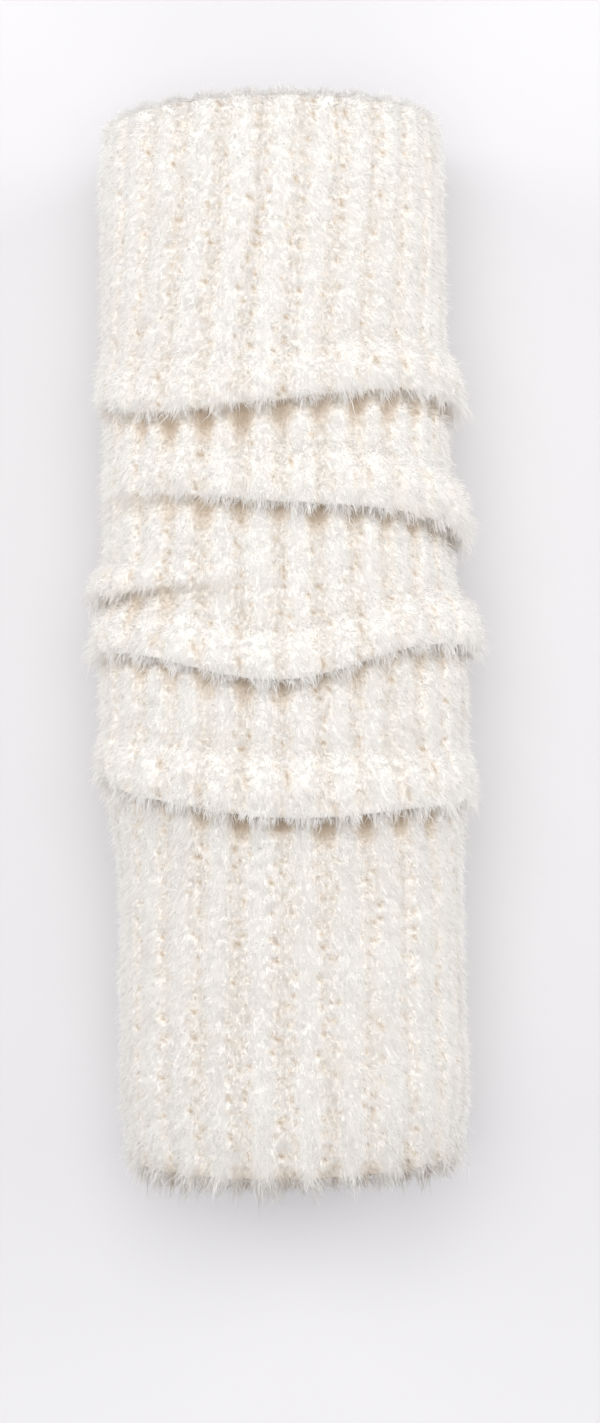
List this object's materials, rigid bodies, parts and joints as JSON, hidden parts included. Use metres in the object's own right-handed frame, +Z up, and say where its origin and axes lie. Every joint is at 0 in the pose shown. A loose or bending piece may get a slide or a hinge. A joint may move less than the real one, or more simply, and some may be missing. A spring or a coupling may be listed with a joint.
{
  "type": "leg warmer",
  "caption": "Fluffy cream rib-knit leg warmer: a soft hollow tube, open at both hems, slouched into folds and lying on its flat under side.",
  "frame": {"origin": "centre of the bounding box, on the floor that the tube lies on", "axes": "+Y along the tube towards its upper hem, +Z up from the floor towards the front, +X to the right as the picture sees it from above"},
  "size_m": [0.1246, 0.33, 0.1036],
  "materials": {
    "cream_knit": "matte"
  },
  "bodies": {
    "root": {"leg_tube": "cream_knit"}
  },
  "joints": []
}
